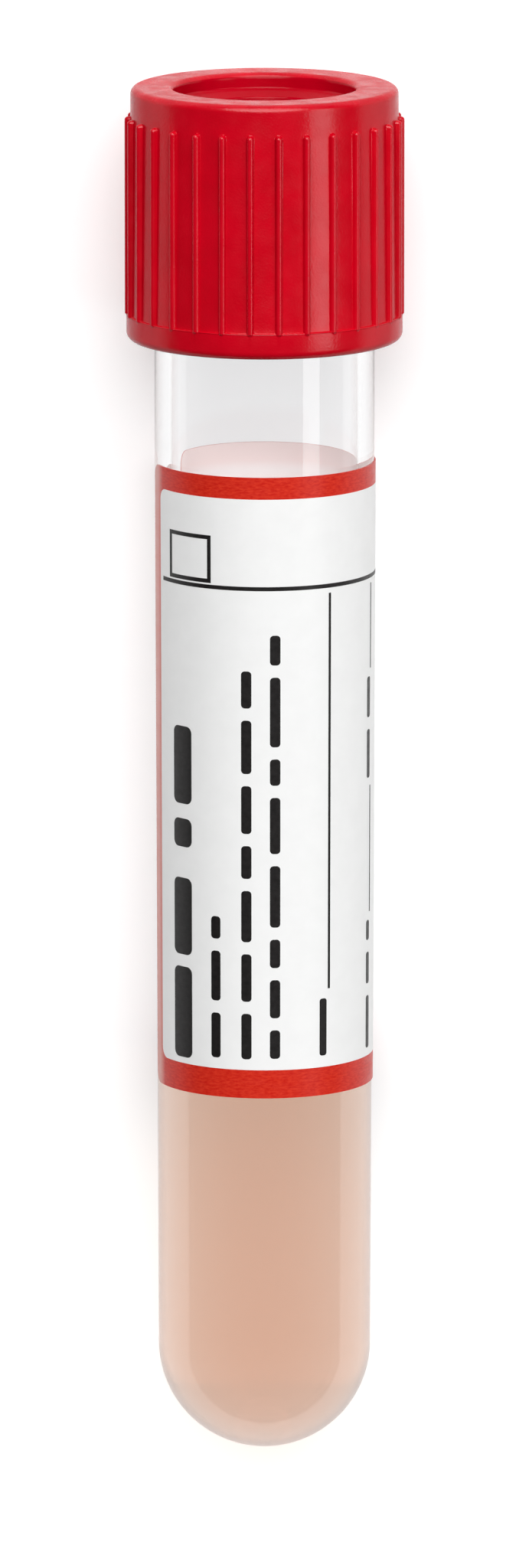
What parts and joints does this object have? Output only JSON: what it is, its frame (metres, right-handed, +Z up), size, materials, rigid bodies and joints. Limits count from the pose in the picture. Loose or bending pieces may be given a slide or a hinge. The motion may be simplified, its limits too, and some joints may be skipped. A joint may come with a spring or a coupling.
{
  "type": "specimen swab tube",
  "caption": "Clear round-bottomed specimen tube with a ribbed red screw cap, a plug seal and shaft socket in the cap, a wrapped white label with red borders, and tan liquid medium.",
  "frame": {"origin": "on the surface that the tube lies on, under the middle of its bounding box", "axes": "+Y along the tube towards the cap, +Z up from the surface and out of the label's front, +X to the right of the label seen with the cap at the top"},
  "size_m": [0.0204, 0.1012, 0.0206],
  "materials": {
    "clear_plastic": "clear, polished",
    "red_plastic": "satin, finely textured outside, smoother in the recess",
    "label_film": "smooth printed film, red border",
    "liquid_medium": "clear tan liquid"
  },
  "bodies": {
    "tube": {"tube": "clear_plastic", "label": "label_film", "medium": "liquid_medium"},
    "cap": {"cap": "red_plastic"}
  },
  "joints": [
    {"name": "cap_lift", "type": "slide", "parent": "tube", "child": "cap", "axis": [0, 0.9995, 0.0302], "range_m": [0, 0.03]}
  ]
}
